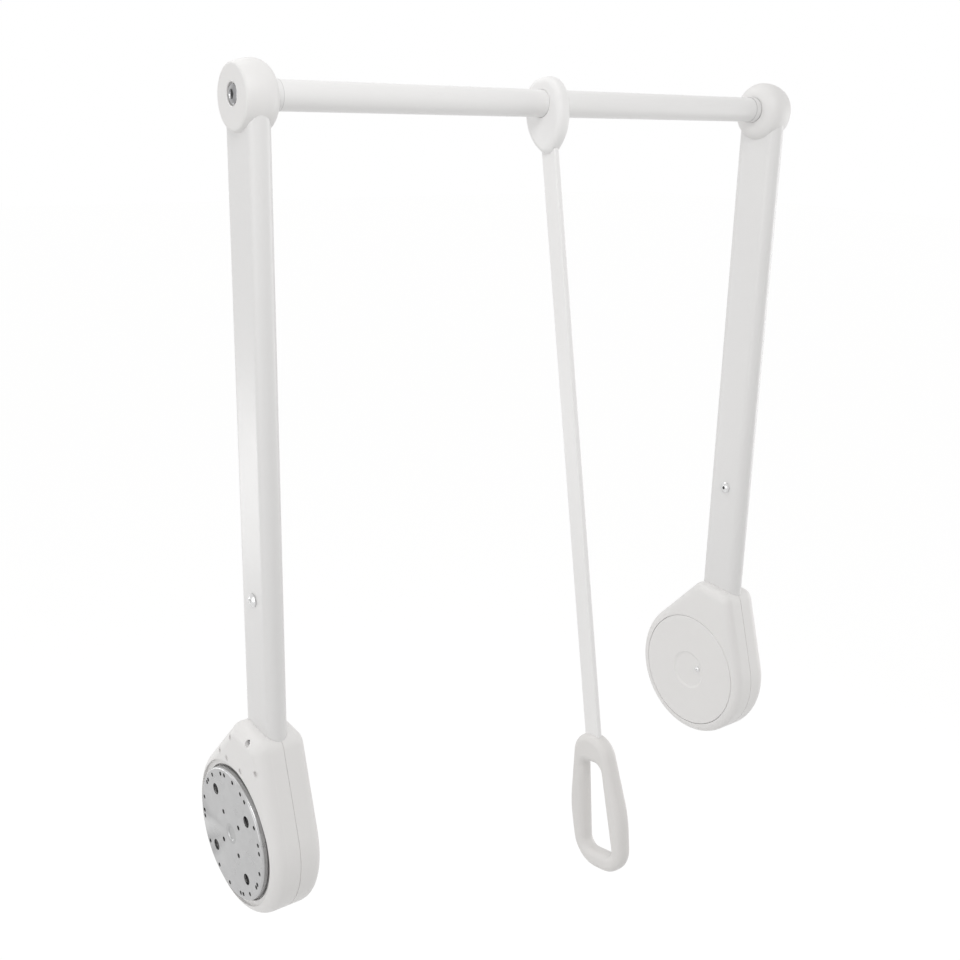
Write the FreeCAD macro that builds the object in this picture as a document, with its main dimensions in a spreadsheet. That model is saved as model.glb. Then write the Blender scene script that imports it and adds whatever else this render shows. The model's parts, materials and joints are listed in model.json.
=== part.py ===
import FreeCAD, Part
import math
import os
import Sketcher
from FreeCAD import Placement, Rotation, Vector

# Pull-down wardrobe rail, in millimetres.
# The origin is the centre of the left mounting plate's wall face, on the pivot axis.
# +X runs along the pivot axis and the rail to the right side, -Y is the front, +Z is up.
# The right side is the left one mirrored, so each side piece is modelled once.

doc = FreeCAD.newDocument("pull_down_rail")
sheet = doc.addObject("Spreadsheet::Sheet", "dims")

DIMS = {
    # whole object
    "arm_spacing": 620,        # between the middle planes of the two arms
    "pivot_to_rail": 672,      # height of the rail axis over the pivot axis
    "arm_forward": 22.8,       # the arm's middle line lies this far in front of the pivot
    "bar_lean": 10.25,          # degrees that the pull bar leans to the front at rest
    "wall_gap": 3,             # housing face to the wall that the plate is screwed to
    # mounting plate
    "plate_gap": 6.7,          # between the plate and the wall of its recess
    "plate_thick": 2,
    "plate_flange": 6,
    "fix_circle_radius": 45,
    "fix_hole_radius": 5.5,
    "inner_circle_radius": 22,
    "inner_hole_radius": 2.4,
    "rim_hole_margin": 6,      # rim of the plate to the middle of its small holes
    "rim_hole_radius": 2.1,
    "hole_turn": 48,
    # housing
    "house_radius": 81,
    "outer_half": 27,          # depth of the wall-side shell
    "inner_half": 24,          # depth of the room-side shell
    "house_top": 118,          # height of the top over the pivot
    "house_wall": 3,
    "rear_slope": 44,          # degrees, direction in which the rear flank faces
    "front_slope": 16.5,       # degrees, how far the front flank leans back
    "top_slope": 5,            # degrees, how far the top falls to the front
    "rear_corner": 14.5,
    "front_corner": 14.5,
    "outer_round": 13.5,       # soft edge of the wall-side shell
    "inner_round": 9.5,
    "recess_rim": 9.8,         # ring of the shell that is left round the recess
    "recess_depth": 8,
    "recess_step": 3,          # the ledge in the recess, round the plate
    "recess_gap": 1.8,         # between the plate's rim and the ledge
    "seam_wide": 0.7,          # groove where the two shells meet
    "seam_deep": 0.7,
    "cover_gap": 0.5,
    "mark_radius": 2.4,
    "mark_depth": 0.8,
    "edge_mark_depth": 1.8,
    # arm
    "arm_width": 53,
    "arm_thick": 20,
    "arm_wall": 1.5,
    "arm_foot": 62,            # height of the arm's lower end over the pivot
    "arm_over_rail": 6,        # how far the arm reaches above the rail axis
    "arm_bolt_height": 243,
    "arm_bolt_radius": 3,
    "bolt_head_radius": 6.3,
    "bolt_head_high": 3.2,
    # pivot
    "shaft_radius": 10,
    "shaft_flange": 13,
    "bush_wall": 2,
    "run_gap": 0.05,
    "free_gap": 0.4,
    "hub_radius": 24,
    "stop_radius": 40,
    "stop_thick": 3.5,
    "stop_pin_circle": 31,
    "stop_pin_radius": 4,
    "lift_angle": 100,
    "arbor_radius": 15,
    "spring_thick": 2,
    "spring_pitch": 4.2,
    "spring_half_turns": 12,
    "spring_wide": 7.4,
    "clip_thick": 1.2,
    "post_radius": 3.5,
    # round cover and its screw
    "cover_rim": 11.5,         # ring of the shell that is left round the cover
    "cover_thick": 2.6,
    "cover_step": 0.5,
    "cover_dish_radius": 24,
    "cover_dish_depth": 1.4,
    "cover_screw_forward": 14,  # the cover's screw lies in front of the pivot
    "cover_screw_over": 6,      # and over it
    "cover_screw_head": 3.6,
    "cover_screw_radius": 1.6,
    "cover_screw_long": 5,
    "case_margin": 7.5,        # edge of the cover to the middle of the case screws
    "case_boss_radius": 4.5,
    "case_screw_radius": 1.8,
    "case_screw_head": 3.2,
    "case_screw_long": 28,
    "shell_screw_head": 2.9,
    "shell_screw_deep": 6,
    # corner cap
    "cap_face": 14,            # arm's middle plane to the cap's flat outer face
    "cap_low": 2,              # rail axis down to the cap's own axis
    "cap_face_radius": 26,
    "cap_radius": 30,
    "cap_crown": 4,            # arm's middle plane to the fattest section
    "cap_inner": 18.5,           # arm's middle plane to the inner end
    "cap_inner_radius": 15.5,
    "cap_well_radius": 9.2,
    "cap_well_round": 0.9,
    "cap_well_depth": 2.2,
    "rail_screw_head": 8,
    "rail_screw_radius": 3,
    # rail
    "rail_radius": 12.5,
    "rail_wall": 1.2,
    "rail_collar_long": 7,
    "rail_collar_thick": 0.45,
    "rail_collar_gap": 0.6,
    "plug_long": 22,
    "seam_beyond_hook": 2,
    "inner_tube_wall": 1.2,
    "inner_tube_each_way": 200,
    # pull bar
    "hook_top": 24,            # rail axis to the hook's top
    "hook_wide": 52.4,
    "hook_thick": 15,
    "hook_top_round": 24,
    "hook_waist": 28,          # rail axis down to where the flanks bend in
    "hook_flank_round": 40,
    "hook_drop": 46.5,         # rail axis to the tip
    "hook_tip_wide": 9.4,
    "hook_tip_round": 12,
    "hook_round": 6,
    "hook_mouth_round": 1,
    "bar_wide": 20,
    "bar_thick": 6,
    "bar_round": 2,
    "bar_top": 28,
    "bar_in_handle": 14,
    "handle_top": 622,         # rail axis to the handle's upper end
    "handle_long": 145.5,
    "handle_shoulder_wide": 42.4,
    "handle_shoulder": 24.5,
    "handle_side_drop": 81,    # where the leaning flanks turn upright
    "handle_side_bend": 120,
    "handle_wide": 76,
    "handle_foot_wide": 68.5,
    "handle_corner": 31,
    "handle_thick": 18,
    "handle_round": 7,
    "grip_drop": 29,           # handle's upper end to the finger opening
    "grip_bar": 18.8,          # the bar that the hand pulls
    "grip_top_wide": 27,
    "grip_wide": 42,
    "grip_corner": 8.9,
}


class Size:
    """A number together with the sheet expression that gives it."""

    def __init__(self, text, number):
        self.text = text
        self.number = number

    def join(self, other, sign, number, swap=False):
        first, second = self.text, as_size(other).text
        if swap:
            first, second = second, first
        return Size("(" + first + " " + sign + " " + second + ")", number)

    def __add__(self, other):
        return self.join(other, "+", self.number + as_size(other).number)

    def __radd__(self, other):
        return as_size(other) + self

    def __sub__(self, other):
        return self.join(other, "-", self.number - as_size(other).number)

    def __rsub__(self, other):
        return as_size(other) - self

    def __mul__(self, other):
        return self.join(other, "*", self.number * as_size(other).number)

    def __rmul__(self, other):
        return as_size(other) * self

    def __truediv__(self, other):
        return self.join(other, "/", self.number / as_size(other).number)

    def __neg__(self):
        return Size("(0 - " + self.text + ")", -self.number)


def as_size(value):
    if isinstance(value, Size):
        return value
    return Size(repr(float(value)), float(value))


def sine(angle):
    return Size("sin(" + angle.text + " * 1 deg)", math.sin(math.radians(angle.number)))


def tangent(angle):
    return Size("tan(" + angle.text + " * 1 deg)", math.tan(math.radians(angle.number)))


def square_root(value):
    return Size("sqrt(" + value.text + ")", math.sqrt(value.number))


def cosine(angle):
    return Size("cos(" + angle.text + " * 1 deg)", math.cos(math.radians(angle.number)))


class Sizes:
    """The sheet's cells, each as a named size."""


size = Sizes()
for row, (alias, number) in enumerate(DIMS.items(), start=1):
    cell = "B" + str(row)
    sheet.set("A" + str(row), alias)
    sheet.set(cell, str(number))
    sheet.setAlias(cell, alias)
    setattr(size, alias, Size("dims." + alias, float(number)))
doc.recompute()

ZERO = as_size(0)


# ---------------------------------------------------------------- helpers

def bind(item, prop, value):
    """Give a property its number, and the expression that keeps it."""
    item.setExpression(prop, as_size(value).text)


def new_body(label, place=None, lean=None):
    """A body whose Placement is bound to the sheet."""
    body = doc.addObject("PartDesign::Body", label)
    body.Label = label
    if place is not None:
        spin = Rotation(Vector(-1, 0, 0), lean.number) if lean is not None else Rotation()
        body.Placement = Placement(Vector(*[as_size(p).number for p in place]), spin)
        for axis, value in zip("xyz", place):
            bind(body, "Placement.Base." + axis, value)
        if lean is not None:
            bind(body, "Placement.Rotation.Angle", lean)
    return body


def new_sketch(body, plane, offset=None):
    """A sketch on one of the body's own planes, moved along the plane's normal."""
    sketch = body.newObject("Sketcher::SketchObject", body.Name + "_sketch")
    support = [f for f in body.Origin.OriginFeatures if f.Role == plane + "_Plane"][0]
    sketch.AttachmentSupport = (support, [""])
    sketch.MapMode = "FlatFace"
    if offset is not None:
        shift = as_size(offset)
        sketch.AttachmentOffset = Placement(Vector(0, 0, shift.number), Rotation())
        bind(sketch, "AttachmentOffset.Base.z", shift)
    return sketch


def pin_point(sketch, geometry, end, x, y):
    """Fix a point of the sketch at two sizes measured from the sketch's origin."""
    for kind, axis, value in (("DistanceX", -2, as_size(x)), ("DistanceY", -1, as_size(y))):
        if value.text == "0.0":
            sketch.addConstraint(Sketcher.Constraint("PointOnObject", geometry, end, axis))
        else:
            rule = Sketcher.Constraint(kind, -1, 1, geometry, end, value.number)
            index = sketch.addConstraint(rule)
            sketch.setExpression("Constraints[" + str(index) + "]", value.text)


def fix_radius(sketch, geometry, radius):
    rule = Sketcher.Constraint("Radius", geometry, as_size(radius).number)
    index = sketch.addConstraint(rule)
    sketch.setExpression("Constraints[" + str(index) + "]", as_size(radius).text)


def pin_centre(sketch, geometry, start, finish, along):
    """Hold a half circle's centre level with the middle of its chord."""
    kind, part = ("DistanceX", 0) if abs(along.x) > abs(along.y) else ("DistanceY", 1)
    value = (as_size(start[part]) + as_size(finish[part])) / 2
    rule = Sketcher.Constraint(kind, -1, 1, geometry, 3, value.number)
    index = sketch.addConstraint(rule)
    sketch.setExpression("Constraints[" + str(index) + "]", value.text)


def add_circle(sketch, radius, x=ZERO, y=ZERO):
    centre = Vector(as_size(x).number, as_size(y).number, 0)
    shape = Part.Circle(centre, Vector(0, 0, 1), as_size(radius).number)
    geometry = sketch.addGeometry(shape, False)
    pin_point(sketch, geometry, 3, x, y)
    fix_radius(sketch, geometry, radius)


def add_outline(sketch, points):
    """A closed outline. Each entry is (x, y) for a corner, or (x, y, radius, bulge) where the
    edge that leaves the corner is an arc of that radius, bulging left (+1) or right (-1)."""
    count = len(points)
    spots = [Vector(as_size(p[0]).number, as_size(p[1]).number, 0) for p in points]
    edges = []
    for number, point in enumerate(points):
        start, finish = spots[number], spots[(number + 1) % count]
        if len(point) == 2:
            edges.append((sketch.addGeometry(Part.LineSegment(start, finish), False), 1, 2))
            continue
        chord = finish - start
        radius = as_size(point[2]).number
        left = Vector(-chord.y, chord.x, 0).normalize()
        sag = radius - math.sqrt(max(radius * radius - chord.Length * chord.Length / 4, 0))
        middle = (start + finish) / 2 + left * (sag * point[3])
        if point[3] < 0:
            geometry = sketch.addGeometry(Part.Arc(start, middle, finish), False)
            edges.append((geometry, 1, 2))
        else:
            geometry = sketch.addGeometry(Part.Arc(finish, middle, start), False)
            edges.append((geometry, 2, 1))
        if abs(radius * 2 - chord.Length) > 1e-6:
            fix_radius(sketch, geometry, point[2])
        else:
            pin_centre(sketch, geometry, point, points[(number + 1) % count], left)
    for number, point in enumerate(points):
        geometry, first, last = edges[number]
        following, next_first, next_last = edges[(number + 1) % count]
        sketch.addConstraint(
            Sketcher.Constraint("Coincident", geometry, last, following, next_first))
        pin_point(sketch, geometry, first, point[0], point[1])


def rounded(corners):
    """The outline of a polygon, given anticlockwise as (x, y, radius), with round corners."""
    points = []
    count = len(corners)
    for number, (x, y, radius) in enumerate(corners):
        before, after = corners[number - 1], corners[(number + 1) % count]
        in_x, in_y = x - before[0], y - before[1]
        out_x, out_y = after[0] - x, after[1] - y
        in_long = square_root(in_x * in_x + in_y * in_y)
        out_long = square_root(out_x * out_x + out_y * out_y)
        turn = (in_x * out_y - in_y * out_x) / (in_long * out_long)
        ahead = (in_x * out_x + in_y * out_y) / (in_long * out_long)
        trim = radius * turn / (ahead + 1)
        points.append((x - in_x * trim / in_long, y - in_y * trim / in_long, radius, -1))
        points.append((x + out_x * trim / out_long, y + out_y * trim / out_long))
    return points


def add_slot(sketch, length, width, x=ZERO, y=ZERO, upright=False):
    """A stadium outline, long along the sketch's x, or along its y when upright."""
    half = width / 2
    run = (length - width) / 2
    if upright:
        add_outline(sketch, [(x + half, y - run), (x + half, y + run, half, -1),
                             (x - half, y + run), (x - half, y - run, half, -1)])
    else:
        add_outline(sketch, [(x - run, y - half), (x + run, y - half, half, -1),
                             (x + run, y + half), (x - run, y + half, half, -1)])


def solved(sketch):
    """The sketch, once its outline is known to be sound."""
    doc.recompute()
    if "Invalid" in sketch.State or "Error" in sketch.State:
        raise RuntimeError("the sketch " + sketch.Name + " is not solved")
    return sketch


def pad(body, sketch, length, reverse=False):
    feature = body.newObject("PartDesign::Pad", body.Name + "_pad")
    feature.Profile = solved(sketch)
    feature.Length = as_size(length).number
    bind(feature, "Length", length)
    feature.Reversed = reverse
    doc.recompute()
    return feature


def pocket(body, sketch, length, reverse=False):
    """A pocket that must take material away."""
    before = body.Shape.Volume
    feature = body.newObject("PartDesign::Pocket", body.Name + "_pocket")
    feature.Profile = solved(sketch)
    feature.Length = as_size(length).number
    bind(feature, "Length", length)
    feature.Reversed = reverse
    doc.recompute()
    if body.Shape.Volume > before - 1e-6:
        raise RuntimeError("a pocket cuts nothing in " + body.Label)
    return feature


def revolve(body, sketch, axis):
    feature = body.newObject("PartDesign::Revolution", body.Name + "_turned")
    feature.Profile = solved(sketch)
    feature.ReferenceAxis = (sketch, [axis])
    feature.Angle = 360
    doc.recompute()
    return feature


def round_edges(body, radius, chosen):
    """Fillet those edges of the body for which chosen(edge) is true."""
    base = body.Tip
    names = ["Edge" + str(n) for n, edge in enumerate(base.Shape.Edges, start=1) if chosen(edge)]
    feature = body.newObject("PartDesign::Fillet", body.Name + "_round")
    feature.Base = (base, names)
    feature.Radius = as_size(radius).number
    bind(feature, "Radius", radius)
    doc.recompute()
    return feature


def flat_at(position, axis="x", near=1e-3):
    """Chooses the edges that lie wholly in one plane square to an axis."""
    def chosen(edge):
        box = edge.BoundBox
        low, high = getattr(box, axis.upper() + "Min"), getattr(box, axis.upper() + "Max")
        return abs(low - position) < near and abs(high - position) < near
    return chosen


pieces = []


def is_circle(edge, radius):
    """Whether the edge is an arc or circle of this radius."""
    return abs(getattr(edge.Curve, "Radius", 0) - radius) < 1e-3


def keep(body):
    """Count a finished piece in."""
    pieces.append(body)
    return body


def mirrored(body, label):
    """The same piece on the right side, mirrored in the middle of the rail."""
    twin = doc.addObject("Part::Mirroring", label)
    twin.Label = label
    twin.Source = body
    twin.Normal = Vector(1, 0, 0)
    twin.Base = Vector(middle_x.number, 0, 0)
    bind(twin, "Base.x", middle_x)
    pieces.append(twin)
    return twin


def both_sides(body, name):
    body.Label = name + "_left"
    keep(body)
    mirrored(body, name + "_right")


# ---------------------------------------------------------------- places

middle_arm_x = size.wall_gap + size.outer_half
recess_radius = size.house_radius - size.recess_rim
plate_radius = recess_radius - size.plate_gap
rim_circle_radius = plate_radius - size.rim_hole_margin
cover_radius = size.house_radius - size.cover_rim
case_circle_radius = cover_radius - size.case_margin
middle_x = middle_arm_x + size.arm_spacing / 2
arm_y = -size.arm_forward
rail_z = size.pivot_to_rail
arm_flat = size.arm_thick / 2
house_outer = size.wall_gap
house_inner = middle_arm_x + size.inner_half
recess_floor = house_outer + size.recess_depth
cavity_from = recess_floor + size.house_wall
cover_floor = house_inner - size.cover_thick
cavity_to = cover_floor - size.house_wall
stop_from = cavity_from + size.free_gap
stop_to = stop_from + size.stop_thick
hub_from = stop_to + size.free_gap
hub_to = middle_arm_x + (arm_flat - size.arm_wall - size.run_gap)
pin_end = middle_arm_x - size.arm_thick / 4
arbor_from = hub_to + size.free_gap
shaft_end = cavity_to - size.free_gap
clip_from = shaft_end - size.clip_thick * 1.5
arbor_to = clip_from - size.run_gap
spring_from = arbor_from + size.free_gap
rail_start = middle_arm_x + arm_flat + size.run_gap
seam_x = middle_x + size.hook_thick / 2 + size.seam_beyond_hook


def dome(radius, high):
    """Radius of the sphere whose cap has this rim radius and height."""
    return (radius * radius + high * high) / (high * 2)


def polar(radius, angle):
    """A point in the sketch, given by its distance and its angle in degrees."""
    angle = as_size(angle)
    return (radius * cosine(angle), radius * sine(angle))


def beside(faces, inset, along):
    """A point this far inside a flank of the housing and this far along it. The flank is
    given by the direction in which it faces."""
    out = size.house_radius - inset
    return (out * cosine(faces) - along * sine(faces), out * sine(faces) + along * cosine(faces))


def tangents(first, first_out, second, second_out, radius):
    """Where a corner of this radius touches two lines. Each line is given by the direction
    in which it faces and its distance from the origin."""
    open_by = sine(second - first)
    y = (first_out * sine(second) - second_out * sine(first)) / open_by
    z = (second_out * cosine(first) - first_out * cosine(second)) / open_by
    run = radius * tangent((second - first) / 2)
    return [(y + run * sine(first), z - run * cosine(first), radius, -1),
            (y - run * sine(second), z + run * cosine(second))]


def teardrop(inset):
    """The housing's outline seen along the pivot: a round foot, two flanks that touch it
    tangentially, and a top that falls to the front, all moved in by one inset."""
    radius = size.house_radius - inset
    rear, front, top = size.rear_slope, 180 - size.front_slope, 90 + size.top_slope
    top_out = size.house_top * cosine(size.top_slope) - inset
    rear_corner = tangents(rear, radius, top, top_out, size.rear_corner - inset)
    front_corner = tangents(top, top_out, front, radius, size.front_corner - inset)
    return [polar(radius, rear)] + rear_corner + front_corner + [
        polar(radius, front) + (radius, -1), (ZERO, -radius, radius, -1)]


def turned(label, points, place=(ZERO, ZERO, ZERO), lean=None):
    """A round piece, turned about the body's X axis from (x, radius) points."""
    body = new_body(label, place, lean)
    profile = new_sketch(body, "XY")
    add_outline(profile, points)
    revolve(body, profile, "H_Axis")
    return body


def drilled(body, circles, start, depth, reverse=False):
    """Round holes along X, each given as (radius, y, z)."""
    layout = new_sketch(body, "YZ", start)
    for radius, y, z in circles:
        add_circle(layout, radius, y, z)
    return pocket(body, layout, depth, reverse)


def raised(body, circles, start, high):
    """Round bosses or pins along +X, each given as (radius, y, z)."""
    layout = new_sketch(body, "YZ", start)
    for radius, y, z in circles:
        add_circle(layout, radius, y, z)
    return pad(body, layout, high)


cover_spot = (-size.cover_screw_forward, size.cover_screw_over)
shell_screw_spot = (arm_y - 8.7, size.house_top - 9.5)
case_spots = [polar(case_circle_radius, angle) for angle in (18, 165, 235, 305)]
rim_angles = (11, 32, 37, 51, 72, 80, 97, 113, 122, 147, 163, 171, 192, 207, 212, 232, 248,
              254, 277, 300, 325, 350, 356)
stop_spot = polar(size.stop_pin_circle, 130)
post_turn = as_size(115)
post_reach = (size.arbor_radius + size.free_gap + size.spring_thick
              + size.spring_pitch / 2 * size.spring_half_turns
              + size.post_radius + size.run_gap + size.spring_thick / 2)
post_spot = polar(post_reach, post_turn)
rear_faces, front_faces = size.rear_slope, 180 - size.front_slope
mark_spots = [polar(recess_radius + size.mark_radius * 2, 83),
              polar(recess_radius + size.mark_radius * 2.4, 104)]
edge_mark_spots = [beside(rear_faces, 9.9, 71.7), beside(rear_faces, 9.9, 37.8),
                   beside(front_faces, 10, -68.9)]


# ---------------------------------------------------------------- the pieces of one side

def make_plate():
    """Pressed disc: rolled flange, two circles of fixing holes and a ring of rim holes."""
    rim, thick, bore = plate_radius, size.plate_thick, size.shaft_radius
    body = turned("mounting_plate", [
        (ZERO, bore), (ZERO, rim - thick, thick, 1), (thick, rim),
        (size.plate_flange, rim), (size.plate_flange, rim - thick),
        (thick, rim - thick), (thick, bore)])
    turn = size.hole_turn
    spots = []
    for quarter in range(4):
        outer = polar(size.fix_circle_radius, turn + 90 * quarter)
        inner = polar(size.inner_circle_radius, turn + 90 * quarter)
        spots.append((size.fix_hole_radius, outer[0], outer[1]))
        spots.append((size.inner_hole_radius, inner[0], inner[1]))
    spots += [(size.rim_hole_radius, *polar(rim_circle_radius, angle)) for angle in rim_angles]
    drilled(body, spots, ZERO, thick, True)
    return body


def make_shaft():
    """Stepped pivot shaft, riveted into the plate, with a groove for its clip."""
    radius, flange, groove = size.shaft_radius, size.shaft_flange, size.shaft_radius - 1
    fit = radius - size.run_gap
    return turned("pivot_shaft", [
        (size.plate_thick * 0.4, ZERO), (size.plate_thick * 0.4, radius * 0.6),
        (ZERO, radius * 0.7), (ZERO, fit), (size.plate_thick, fit), (size.plate_thick, flange),
        (stop_from, flange), (stop_from, radius), (clip_from, radius), (clip_from, groove),
        (clip_from + size.clip_thick, groove), (clip_from + size.clip_thick, radius),
        (shaft_end, radius), (shaft_end, ZERO)])


def sleeve(label, inner, outer, start, end):
    return turned(label, [(start, inner), (start, outer), (end, outer), (end, inner)])


def make_stop_disc():
    """Disc keyed to the shaft. Its curved slot sets how far the arm can swing."""
    body = sleeve("stop_disc", size.shaft_radius + size.run_gap, size.stop_radius,
                  stop_from, stop_to)
    half = size.stop_pin_radius + size.free_gap
    middle = size.stop_pin_circle
    slot = new_sketch(body, "YZ", stop_from)
    start, end = as_size(130), 130 + size.lift_angle
    add_outline(slot, [
        polar(middle + half, start) + (middle + half, -1), polar(middle + half, end) + (half, -1),
        polar(middle - half, end) + (middle - half, 1), polar(middle - half, start) + (half, -1)])
    pocket(body, slot, size.stop_thick, True)
    return body


def make_carrier():
    """Cast core that turns on the shaft and carries the arm on its tongue."""
    body = turned("arm_carrier", [
        (hub_from, size.shaft_radius + size.bush_wall), (hub_from, size.hub_radius),
        (hub_to, size.hub_radius), (hub_to, size.shaft_radius + size.bush_wall)])
    inside = size.arm_wall + size.run_gap
    section = new_sketch(body, "XY", size.hub_radius * 0.75)
    add_slot(section, size.arm_width - inside * 2, size.arm_thick - inside * 2,
             middle_arm_x, arm_y, upright=True)
    pad(body, section, size.arm_bolt_height + 18 - size.hub_radius * 0.75)
    drilled(body, [(size.arm_bolt_radius + size.run_gap, arm_y, size.arm_bolt_height)],
            middle_arm_x - size.arm_thick, size.arm_thick * 2, True)
    pin = size.stop_pin_radius / 2
    drilled(body, [(pin + size.run_gap, *stop_spot)], hub_from, pin_end - hub_from, True)
    drilled(body, [(size.post_radius + size.run_gap, *post_spot)], hub_to,
            hub_to - middle_arm_x)
    drilled(body, [(size.case_screw_radius, *shell_screw_spot)], hub_from,
            middle_arm_x - hub_from, True)
    return body


def make_spring():
    """Flat spiral spring: tangent half-circles of growing radius, closed by an eye."""
    thick = size.spring_thick.number
    half_pitch = size.spring_pitch.number / 2
    inner = size.arbor_radius.number + size.free_gap.number
    rails = []
    for extra in (0.0, thick):
        edges = []
        for turn in range(int(size.spring_half_turns.number)):
            side = 1 if turn % 2 == 0 else -1
            radius = inner + extra + half_pitch * turn
            centre = Vector(0 if side > 0 else half_pitch, 0, 0)
            begin = centre + Vector(radius * side, 0, 0)
            top = centre + Vector(0, radius * side, 0)
            end = centre - Vector(radius * side, 0, 0)
            edges.append(Part.Arc(begin, top, end).toShape())
        rails.append(edges)
    first = Part.LineSegment(rails[0][0].Vertexes[0].Point, rails[1][0].Vertexes[0].Point)
    last = Part.LineSegment(rails[0][-1].Vertexes[-1].Point, rails[1][-1].Vertexes[-1].Point)
    outline = Part.Wire(Part.__sortEdges__(
        rails[0] + [last.toShape()] + rails[1] + [first.toShape()]))
    strip = Part.Face(outline).extrude(Vector(0, 0, size.spring_wide.number))
    hole = size.post_radius.number + size.run_gap.number
    eye_at = rails[1][-1].Vertexes[-1].Point + Vector(hole + thick / 2, 0, 0)
    ring = Part.makeCylinder(hole + thick, size.spring_wide.number, eye_at)
    bore = Part.makeCylinder(hole, size.spring_wide.number, eye_at)
    spring = doc.addObject("Part::Feature", "power_spring")
    spring.Shape = strip.fuse(ring).cut(bore).removeSplitter()
    face = Rotation(Vector(1, 0, 0), post_turn.number) * Rotation(Vector(1, 1, 1), 120)
    spring.Placement = Placement(Vector(spring_from.number, 0, 0), face)
    return spring


def make_outer_shell():
    """Wall-side half of the housing: recess for the plate, arm socket, screw bosses."""
    body = new_body("housing_outer")
    blank = new_sketch(body, "YZ", house_outer)
    add_outline(blank, teardrop(ZERO))
    pad(body, blank, size.outer_half)
    round_edges(body, size.outer_round, flat_at(house_outer.number))
    drilled(body, [(recess_radius, ZERO, ZERO)], house_outer, size.recess_step, True)
    drilled(body, [(plate_radius + size.recess_gap, ZERO, ZERO)], house_outer,
            size.recess_depth, True)
    hollow = new_sketch(body, "YZ", middle_arm_x)
    add_outline(hollow, teardrop(size.house_wall))
    pocket(body, hollow, middle_arm_x - cavity_from)
    raised(body, [(size.case_boss_radius, y, z) for y, z in case_spots],
           cavity_from - size.run_gap, middle_arm_x - cavity_from + size.run_gap)
    drilled(body, [(size.case_screw_radius, y, z) for y, z in case_spots],
            middle_arm_x, size.case_screw_long - (cavity_to - middle_arm_x) + 1)
    drilled(body, [(size.shaft_flange + size.free_gap, ZERO, ZERO)], recess_floor,
            size.house_wall * 2, True)
    cut_socket(body)
    drilled(body, [(size.mark_radius, y, z) for y, z in mark_spots], house_outer,
            size.mark_depth, True)
    drilled(body, [(size.mark_radius, y, z) for y, z in edge_mark_spots], house_outer,
            size.edge_mark_depth, True)
    drilled(body, [(size.shell_screw_head + size.free_gap, *shell_screw_spot)], house_outer,
            size.shell_screw_deep, True)
    drilled(body, [(size.case_screw_radius + size.run_gap, *shell_screw_spot)], house_outer,
            size.outer_half, True)
    return body


def cut_socket(body):
    """The arm's socket in the top of a shell."""
    socket = new_sketch(body, "XY", size.house_top + size.house_wall)
    gap = size.run_gap * 2
    add_slot(socket, size.arm_width + gap, size.arm_thick + gap, middle_arm_x, arm_y,
             upright=True)
    pocket(body, socket, size.house_top + size.house_wall - size.arm_foot + size.free_gap)


def make_inner_shell():
    """Room-side half of the housing: recess for the round cover and its screw."""
    body = new_body("housing_inner")
    groove = new_sketch(body, "YZ", middle_arm_x)
    add_outline(groove, teardrop(size.seam_deep))
    pad(body, groove, size.seam_wide)
    blank = new_sketch(body, "YZ", middle_arm_x + size.seam_wide)
    add_outline(blank, teardrop(ZERO))
    pad(body, blank, size.inner_half - size.seam_wide)
    round_edges(body, size.inner_round, flat_at(house_inner.number))
    drilled(body, [(cover_radius + size.cover_gap, ZERO, ZERO)], house_inner,
            size.cover_thick)
    hollow = new_sketch(body, "YZ", middle_arm_x)
    add_outline(hollow, teardrop(size.house_wall))
    pocket(body, hollow, cavity_to - middle_arm_x, True)
    raised(body, [(size.case_boss_radius, y, z) for y, z in case_spots], middle_arm_x,
           cavity_to - middle_arm_x + size.run_gap)
    drilled(body, [(size.case_screw_radius + size.run_gap, y, z) for y, z in case_spots],
            cover_floor, size.inner_half)
    drilled(body, [(size.case_screw_head + size.free_gap, y, z) for y, z in case_spots],
            cover_floor, size.house_wall)
    drilled(body, [(size.cover_screw_radius, *cover_spot)], cover_floor, size.inner_half / 2)
    cut_socket(body)
    return body


def make_case_screws():
    """The screws that hold the two shells together, under the round cover."""
    body = new_body("case_screws")
    body.AllowCompound = True
    seat = cavity_to + size.run_gap
    shanks = new_sketch(body, "YZ", seat)
    heads = new_sketch(body, "YZ", seat)
    for y, z in case_spots:
        add_circle(shanks, size.case_screw_radius - size.run_gap, y, z)
        add_circle(heads, size.case_screw_head, y, z)
    pad(body, shanks, size.case_screw_long, True)
    pad(body, heads, size.house_wall * 0.85)
    return body


def make_shell_screw():
    """Screw through the outer shell into the arm, sunk in its hole."""
    seat = house_outer + size.shell_screw_deep - size.run_gap
    shank, head = size.case_screw_radius - size.run_gap, size.shell_screw_head
    tip = middle_arm_x - size.arm_thick / 4
    return turned("shell_screw", [
        (seat - 2.2, ZERO, dome(head, as_size(1.6)), 1), (seat - 0.6, head), (seat, head), (seat, shank),
        (tip, shank), (tip, ZERO)], (ZERO, *shell_screw_spot))


def make_cover():
    """Round cover with a soft edge and a shallow dish in its middle."""
    outer, under = house_inner + size.cover_step, cover_floor + size.run_gap
    rim, dish, deep = cover_radius, size.cover_dish_radius, size.cover_dish_depth
    body = turned("round_cover", [
        (under, ZERO), (under, rim), (outer - 1.2, rim, as_size(1.2), 1), (outer, rim - 1.2),
        (outer, dish), (outer - deep, dish - deep * 2), (outer - deep, ZERO)])
    drilled(body, [(size.cover_screw_radius + size.run_gap, *cover_spot)], outer,
            size.cover_thick * 2)
    return body


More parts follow.
